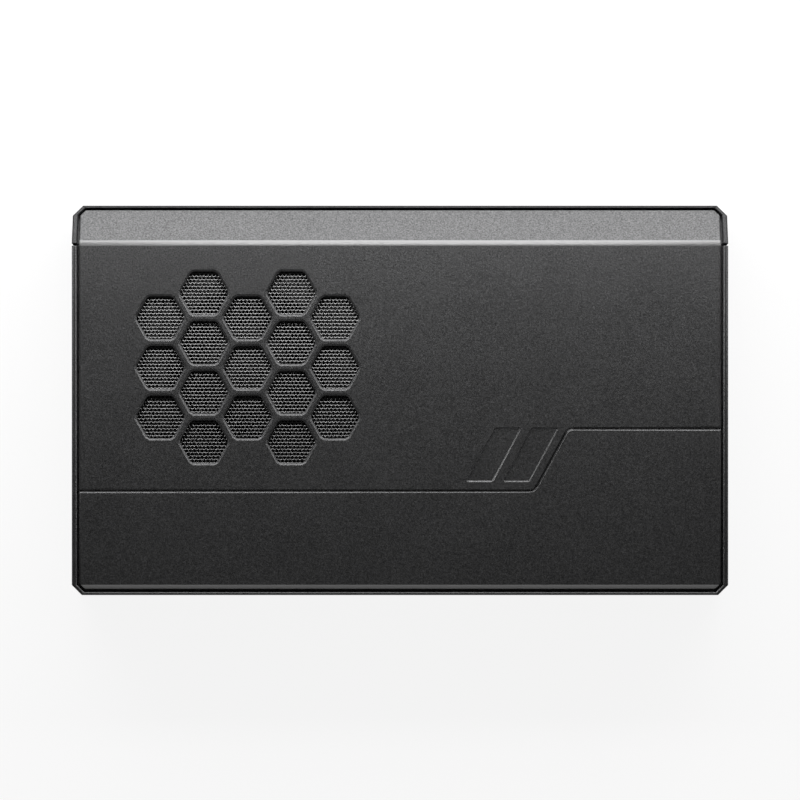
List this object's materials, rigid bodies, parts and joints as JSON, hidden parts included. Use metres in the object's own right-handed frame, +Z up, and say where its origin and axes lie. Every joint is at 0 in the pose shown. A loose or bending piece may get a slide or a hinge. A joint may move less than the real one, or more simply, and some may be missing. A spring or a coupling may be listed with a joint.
{
  "type": "external graphics card enclosure",
  "caption": "Flat box with cut corners, a bevelled rear, hexagonal air windows over a fan, and a rear row of sockets that links a graphics chip to a computer.",
  "frame": {"origin": "middle of the footprint, in the plane of the feet", "axes": "+X along the long side to the right of the windowed face, +Y to the rear wall with the sockets, +Z up out of the windowed face"},
  "size_m": [0.196, 0.1164, 0.032],
  "materials": {
    "shell_paint": "fine blasted, satin, dark neutral grey",
    "base_paint": "satin, dark neutral grey",
    "mesh_steel": "fine punched sheet, dull",
    "foot_rubber": "matte black",
    "screw_steel": "dull plated",
    "button_plastic": "satin dark grey",
    "light_plastic": "milky clear",
    "board_laminate": "dark solder mask",
    "chip_resin": "moulded black",
    "die_silicon": "polished grey",
    "pad_silicone": "soft matte",
    "choke_ferrite": "pressed grey",
    "capacitor_resin": "moulded dark",
    "copper": "bare, slightly dulled",
    "fin_aluminium": "bare sheet",
    "seal_foam": "closed foam",
    "fan_plastic": "moulded black",
    "plate_steel": "bare sheet",
    "bearing_brass": "turned",
    "lead_plastic": "flat ribbon",
    "socket_steel": "plated sheet",
    "socket_plastic": "moulded black"
  },
  "bodies": {
    "root": {"top_cover": "shell_paint", "main_frame": "shell_paint", "rear_bezel": "shell_paint", "bottom_cover": "base_paint", "vent_mesh": "mesh_steel", "rubber_feet": "foot_rubber", "bottom_screws": "screw_steel", "board_screws": "screw_steel", "cooler_screws": "screw_steel", "fan_screws": "screw_steel", "cooler_posts": "screw_steel", "light_pipe": "light_plastic", "status_lamp": "light_plastic", "main_board": "board_laminate", "graphics_carrier": "chip_resin", "memory_chips": "chip_resin", "power_transistors": "chip_resin", "link_controller": "chip_resin", "button_switch": "chip_resin", "graphics_die": "die_silicon", "memory_pads": "pad_silicone", "power_chokes": "choke_ferrite", "capacitors": "capacitor_resin", "cold_plate": "copper", "heat_pipes": "copper", "fin_stack": "fin_aluminium", "outlet_seal": "seal_foam", "fan_housing": "fan_plastic", "fan_header": "fan_plastic", "fan_top_plate": "plate_steel", "fan_stator": "plate_steel", "fan_bearing": "bearing_brass", "inlet_pin": "bearing_brass", "fan_lead": "lead_plastic", "reversible_socket": "socket_steel", "expansion_socket": "socket_steel", "display_socket_left": "socket_steel", "display_socket_right": "socket_steel", "video_socket_left": "socket_steel", "video_socket_right": "socket_steel", "data_socket_left": "socket_steel", "data_socket_right": "socket_steel", "power_inlet": "socket_plastic", "network_socket": "socket_plastic", "socket_tongues": "socket_plastic"},
    "fan": {"fan_rotor": "fan_plastic", "fan_shaft": "plate_steel"},
    "button": {"power_button": "button_plastic"}
  },
  "joints": [
    {"name": "fan_spin", "type": "hinge", "parent": "root", "child": "fan", "pos_m": [-0.0455, 0.00975, 0.02], "axis": [0, 0, 1], "continuous": true},
    {"name": "button_press", "type": "slide", "parent": "root", "child": "button", "axis": [0, 1, 0], "range_m": [0, 0.0005], "stiffness_N_per_m": 3000, "springref_m": -0.0002}
  ]
}
